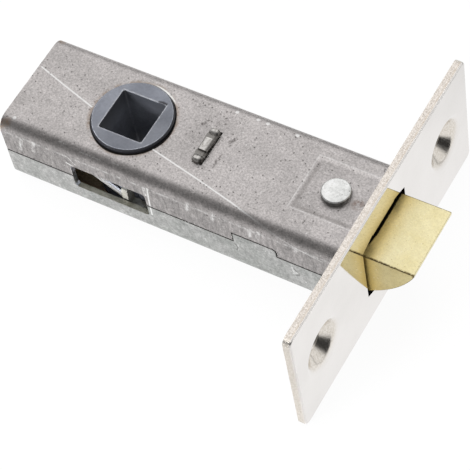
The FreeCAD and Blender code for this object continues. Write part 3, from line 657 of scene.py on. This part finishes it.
def drawn_steel(name, first, second, roughness, metallic):
    """Small steel pieces and the dark brown inside, with fine marks from the press or the die."""
    finish = Finish(name, metallic, roughness)
    grain = finish.noise(2.8, 5, 0.7)
    finish.ground(grain, 0.35, 0.65, first, second)
    return finish.use(finish.spread(grain, roughness - 0.06, roughness + 0.06), grain, 0.015)


def staked_steel():
    """The lug's ends, hammered, with their light and shade painted: painted shadow at the foot and on the
    front side, painted highlights on the crowns and crests, and painted shade in the chisel marks.
    """
    finish = Finish("staked_steel", 1.0, 0.36)
    height = finish.off(finish.part("Z"))
    across = finish.off(finish.part("Y"))
    grain = finish.noise(2.4, 5, 0.75, stretch=(1, 0.5, 1))
    finish.ground(grain, 0.35, 0.65, (0.30, 0.275, 0.255), (0.70, 0.67, 0.64))
    # Painted shadow at the lug's foot, down where it meets the sheet.
    finish.paint(DARK_GAP_AND_SHADE, finish.between(height, CASE_TOP + 0.16, CASE_TOP))
    # Painted highlight on the crowns.
    crown = finish.between(height, CASE_TOP + 0.45, CASE_TOP + 0.58)
    finish.paint((0.82, 0.80, 0.77), crown, finish.spread(grain, 0.1, 0.9))
    # Painted shade in the chisel marks.
    marks = finish.times(finish.between(across, MARK_START - 0.05, MARK_START + 0.1),
                         finish.between(across, MARK_END + 0.05, MARK_END - 0.1))
    finish.paint((0.13, 0.12, 0.11), marks, finish.spread(grain, 0.5, 0.9))
    # Painted highlights on thin crests at the edges of the marks.
    painted_crest_highlights = finish.most(*[finish.between(finish.off(finish.part("Y"), crease), 0.17, 0.06)
                            for crease in (MARK_START, -MARK_END)])
    finish.paint((0.90, 0.88, 0.84), painted_crest_highlights, finish.spread(grain, 0.4, 1.0))
    # Painted shade on the lug's front side.
    painted_shade_front_side = finish.between(finish.part("X"), LUG_FRONT - 0.45, LUG_FRONT - 0.07)
    finish.paint(DARK_GAP_AND_SHADE, painted_shade_front_side, finish.spread(grain, 0.5, 0.95))
    return finish.use(finish.spread(grain, 0.3, 0.44), grain, 0.04)


# Pieces

def make_case():
    skins = {"case_upper": bare_steel(),
             "case_lower": zinc_plate("zinc_plated_half", (0.50, 0.50, 0.49), (0.40, 0.41, 0.395), 0.36)}
    edge = cut_steel("sheared_sheet_edge", (0.40, 0.38, 0.36), (0.90, 0.88, 0.85))
    # A darker copy of the sheared edge for the window's cut faces: painted shade.
    window_cut_in_painted_shade = cut_steel("sheet_edge_in_window_painted_shade", (0.17, 0.165, 0.13), (0.30, 0.295, 0.25))
    # The faces inside the case, painted dark brown.
    inside = drawn_steel("dark_brown_inside", (0.30, 0.235, 0.15), (0.17, 0.13, 0.08), 0.6, 0.2)
    slack = 0.05

    def by_window(middle, normal):
        in_sheet = abs(middle.y) > CASE_SIDE - SHEET
        return in_sheet and abs(abs(middle.z) - WINDOW_HALF) < 0.1 and abs(normal.z) > 0.9

    def within(middle, normal):
        return (abs(middle.y) < CASE_SIDE - SHEET + slack and abs(middle.z) < CASE_TOP - SHEET + slack
                and middle.x > CASE_REAR + 0.7)

    for node, skin in skins.items():
        item = casting(node, skin, edge, window_cut_in_painted_shade, inside)
        coat(item, 2, by_window)
        coat(item, 3, within)
        ease(item, 0.13, edge_finish=1)
        smooth(item, 18)
        place(item, node, "case")


def make_faceplate():
    item = casting("faceplate", bright_nickel())

    def on_lip(middle, direction):
        reach = Vector((abs(middle.y) - SCREW_Y, middle.z)).length
        return abs(middle.x) < 0.02 and abs(reach - COUNTERSINK_RADIUS) < 0.15

    round_edges(item, on_lip, 0.9, 6)
    ease(item, 0.06)
    smooth(item)
    place(item, "faceplate", "case")


def make_rivets():
    finish = zinc_plate("zinc_rivet", (0.93, 0.93, 0.915), (0.76, 0.765, 0.75), 0.22)
    # A darker copy of the rivet's zinc for its side wall: painted shade.
    wall = zinc_plate("zinc_rivet_wall_painted_shade", (0.40, 0.40, 0.39), (0.26, 0.26, 0.25), 0.4)
    for node in ("front_rivet_upper", "front_rivet_lower"):
        item = casting(node, finish, wall)
        coat(item, 1, lambda middle, normal: abs(normal.z) < 0.5)
        ease(item, 0.1, segments=3, angle=30)
        smooth(item, 45)
        place(item, node, "case")


def make_abutment():
    """The lugs are swollen and rounded where the chisel spread them."""
    item = casting("spring_abutment", staked_steel())
    low, high = (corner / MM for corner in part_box("spring_abutment"))
    end_round, crown_round = 0.66, 0.46
    mark_lift = 0.2
    swelling = (1.3, 1.03, 1.6)

    def on_crown(middle, direction):
        on_face = min(abs(middle.x - low.x), abs(middle.x - low.x - LUG_THICKNESS)) < 0.01
        lengthwise = abs(direction.y) > 0.9 and on_face
        round_the_end = abs(middle.y) > LUG_HALF - 0.68
        return abs(middle.z) > high.z - 0.01 and (lengthwise or round_the_end)

    def on_end(middle, direction):
        return abs(direction.z) > 0.9 and abs(middle.z) > high.z - 1.2 and abs(middle.y) > LUG_HALF - 0.01

    def in_mark(middle, normal):
        return (abs(normal.z) > 0.9 and high.z - 0.6 < abs(middle.z) < high.z - 0.2
                and MARK_START - 0.2 < abs(middle.y) < MARK_END + 0.2)

    round_edges(item, on_end, end_round, 5)
    round_edges(item, on_crown, crown_round, 5)
    for side in (1, -1):
        choose(item, "FACE", lambda middle, normal: in_mark(middle, normal) and middle.z * side > 0)
        bpy.ops.transform.translate(value=(0, 0, side * mark_lift * MM))
        done()
    for side in (1, -1):
        sheet_top = Vector((low.x + LUG_THICKNESS / 2, 0, side * CASE_TOP)) * MM
        choose(item, "FACE", lambda middle, normal: middle.z * side > 5)
        bpy.ops.mesh.bisect(plane_co=sheet_top, plane_no=(0, 0, 1))
        done()
        choose(item, "FACE", lambda middle, normal: middle.z * side > CASE_TOP + 0.02)
        bpy.ops.transform.resize(value=swelling, center_override=sheet_top)
        done()
    smooth(item, 50)
    place(item, "spring_abutment", "case")


def make_bolt():
    # The third finish is a darker copy of the brass for the sides: painted shade.
    finishes = (brass("satin_brass", (0.93, 0.84, 0.52), (0.87, 0.77, 0.44), 0.5), tarnished_edge(),
                brass("brass_side_painted_shade", (0.66, 0.57, 0.29), (0.58, 0.49, 0.23), 0.35))
    item = casting("latch_bolt", *finishes)
    coat(item, 2, lambda middle, normal: abs(normal.y) > 0.9)
    ease(item, 0.18, edge_finish=1)
    coat(item, 0, lambda middle, normal: middle.x > THROW - 0.3 and abs(middle.y) < BOLT_SIDE - 0.2)
    smooth(item)
    place(item, "latch_bolt", "bolt")


def make_tail():
    finish = drawn_steel("bright_tail_steel", (0.44, 0.435, 0.40), (0.30, 0.295, 0.26), 0.35, 0.3)
    item = casting("tail_plate", finish)
    ease(item, 0.12)
    smooth(item)
    place(item, "tail_plate", "bolt")


def make_hub():
    item = casting("hub", moulded_plastic(), rubbed_and_highlit_plastic())
    ease(item, 0.17, segments=3, edge_finish=1)
    coat(item, 0, lambda middle, normal: abs(middle.z) < HUB_FACE - 0.2)
    smooth(item)
    place(item, "hub", "follower")


def wire_ring(name, finish, diameter, place_mm, turn):
    """The open ring that a wire is drawn from."""
    bpy.ops.object.select_all(action="DESELECT")
    bpy.ops.mesh.primitive_circle_add(vertices=14, radius=diameter / 2 * MM,
                                      location=Vector(place_mm) * MM, rotation=turn)
    item = bpy.context.active_object
    item.name = name
    bpy.ops.object.transform_apply(location=True, rotation=True, scale=True)
    item.data.materials.append(finish.material)
    return item


def finish_spring(item, node):
    """Close the wire's ends, and let the spring stand for its node on the case."""
    edit(item)
    bpy.ops.mesh.select_mode(type="VERT")
    bpy.ops.mesh.remove_doubles(threshold=0.001 * MM)
    bpy.ops.mesh.select_all(action="DESELECT")
    bpy.ops.mesh.select_non_manifold()
    bpy.ops.mesh.edge_face_add()
    bpy.ops.mesh.select_all(action="SELECT")
    bpy.ops.mesh.normals_make_consistent(inside=False)
    done()
    smooth(item, 60)
    place(item, node, "case")
    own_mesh(item)


def make_bolt_spring(finish):
    """The coil between the abutment and the bolt's bore."""
    low, high = (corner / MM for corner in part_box("bolt_spring"))
    wire = 0.7
    turns = 9
    coil_radius = high.z - wire / 2
    start = low.x + wire / 2
    length = high.x - wire / 2 - start
    item = wire_ring("bolt_spring_coil", finish, wire, (start, 0, coil_radius), (pi / 2, 0, 0))
    modifier(item, "SCREW", axis="X", angle=2 * pi, screw_offset=length / turns * MM, iterations=turns,
             steps=32, render_steps=32, use_merge_vertices=True, merge_threshold=0.001 * MM)
    finish_spring(item, "bolt_spring")


def make_return_spring(finish):
    """The bow behind the hub: one leg, a half turn and the other leg."""
    low, high = (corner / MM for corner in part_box("return_spring"))
    wire = 0.8
    bend_radius = 3.8
    level = (low.z + high.z) / 2
    centre = Vector((low.x + wire / 2 + bend_radius, 0, level))
    reach = Vector((high.x, high.y - wire / 2, level)) - centre
    lean = atan2(reach.y, reach.x) - asin(bend_radius / reach.length)
    leg = (reach.length ** 2 - bend_radius ** 2) ** 0.5 - 0.1
    touch = centre + Vector((-bend_radius * sin(lean), bend_radius * cos(lean), 0))
    tip = touch + Vector((cos(lean), sin(lean), 0)) * leg
    other_leg = Vector((cos(lean), -sin(lean), 0)) * leg
    item = wire_ring("bow_spring_wire", finish, wire, tip, (pi / 2, 0, lean + pi / 2))
    edit(item)
    bpy.ops.mesh.extrude_region_move(TRANSFORM_OT_translate={"value": (touch - tip) * MM})
    bpy.ops.mesh.spin(steps=28, angle=pi + 2 * lean, center=centre * MM, axis=(0, 0, 1))
    bpy.ops.mesh.extrude_region_move(TRANSFORM_OT_translate={"value": other_leg * MM})
    done()
    finish_spring(item, "return_spring")


# Studio

def white_table():
    """Matt paper that also glows: white to the camera, and to metal a ground that dims to both sides."""
    finish = Finish("white_table", 0.0, 0.9)
    finish.fill(finish.shader, {"Base Color": (0.82, 0.82, 0.82)})
    rays = finish.add("LightPath")
    seen = finish.most(rays.outputs["Is Camera Ray"], rays.outputs["Is Glossy Ray"])
    falloff = finish.between(finish.off(finish.part("Y")), 10, 120, 1, 0.38)
    glow = finish.add("Emission")
    strength = finish.most(rays.outputs["Is Camera Ray"], falloff)
    finish.fill(glow, {"Color": (1, 1, 1), "Strength": strength})
    mixed = finish.add("MixShader")
    finish.fill(mixed, {0: finish.times(seen, 0.94), 1: finish.shader.outputs[0], 2: glow.outputs[0]})
    finish.fill(finish.tree.nodes["Material Output"], {"Surface": mixed.outputs[0]})
    return finish


def make_floor():
    """A pale table that the plate's lower edge and the case's rear bottom edge stand on."""
    drop = PLATE_HALF_WIDTH + 0.05
    rise = (PLATE_HALF_WIDTH - CASE_TOP) / -CASE_REAR
    bpy.ops.object.select_all(action="DESELECT")
    bpy.ops.mesh.primitive_plane_add(size=6, location=(0, 0, -drop * MM), rotation=(0, atan2(rise, 1), 0))
    floor = bpy.context.active_object
    floor.name = "table"
    floor.data.materials.append(white_table().material)


def make_world():
    """A soft white sky over a dark room: metal sees the room low down and high up in front of the latch."""
    world = bpy.data.worlds.new("studio")
    bpy.context.scene.world = world
    world.use_nodes = True
    sky = Nodes(world.node_tree, "Generated")
    x, y, z = (sky.part(axis) for axis in "XYZ")
    behind = sky.between(y, 0.38, -0.42, 1.0, 0.15)
    above = sky.between(z, 0.12, 0.50, 0.12, 1.0)
    above = sky.between(x, 0.25, 0.55, above, 1.0)
    room = sky.most(sky.times(behind, above), 0.18)
    aside = sky.times(sky.between(x, 0.5, 0.8), sky.between(z, -0.1, 0.0))
    room = sky.between(aside, 0, 1, room, 0.95)
    towards = sky.vector("DOT_PRODUCT", sky.point, (0.888, -0.457, 0.062))
    room = sky.between(towards, 0.62, 0.87, room, 0.03)
    hood = sky.between(z, 0.40, 0.47, 1.0, sky.between(x, 0.45, 0.62, 1.0, 0.2))
    soft = sky.between(z, 0.0, 0.9, 0.22, 0.85)
    rays = sky.add("LightPath")
    lit = sky.between(rays.outputs["Is Glossy Ray"], 0, 1, soft, sky.times(room, hood))
    clear = sky.most(rays.outputs["Is Camera Ray"], rays.outputs["Is Transmission Ray"])
    strength = sky.between(clear, 0, 1, lit, 1.0)
    sky.fill(sky.tree.nodes["Background"], {"Color": (1, 1, 1), "Strength": strength})


def make_lamp(name, place_m, size, watts):
    """A square lamp that lights from its place towards the latch, and that neither camera nor metal sees."""
    light = bpy.data.lights.new(name, "AREA")
    light.shape = "SQUARE"
    light.size = size
    light.energy = watts
    lamp = bpy.data.objects.new(name, light)
    bpy.context.scene.collection.objects.link(lamp)
    lamp.location = place_m
    lamp.rotation_mode = "QUATERNION"
    lamp.rotation_quaternion = Vector(place_m).to_track_quat("Z", "Y")
    lamp.visible_camera = False
    lamp.visible_glossy = False


def make_camera():
    """The camera stands where the photographer's did."""
    stand = (0.09712, -0.14891, 0.26865)
    ahead = Vector((-0.36645, 0.43039, -0.82491)).normalized()
    right = Vector((0.86226, 0.49021, -0.12729)).normalized()
    turn = Matrix((right, right.cross(ahead), -ahead)).transposed().to_4x4()
    camera = bpy.data.objects.new("camera", bpy.data.cameras.new("camera"))
    bpy.context.scene.collection.objects.link(camera)
    camera.matrix_world = Matrix.Translation(stand) @ turn
    camera.data.sensor_width = 36
    camera.data.lens = 158.9
    camera.data.clip_start = 0.01
    camera.data.clip_end = 20
    bpy.context.scene.camera = camera


make_case()
make_faceplate()
make_rivets()
make_abutment()
make_bolt()
make_tail()
make_hub()
spring_wire = drawn_steel("spring_wire", (0.92, 0.92, 0.91), (0.75, 0.75, 0.74), 0.25, 0.5)
make_bolt_spring(spring_wire)
make_return_spring(spring_wire)

make_floor()
make_world()
make_lamp("overhead_softbox", (-0.15, 0.25, 0.9), 0.8, 8)
make_lamp("front_fill", (0.4, -0.8, 0.5), 0.8, 0.8)
make_lamp("low_front_lamp", (-0.3, -0.6, 0.16), 0.3, 8)
make_camera()
bpy.context.scene.view_settings.view_transform = "Standard"
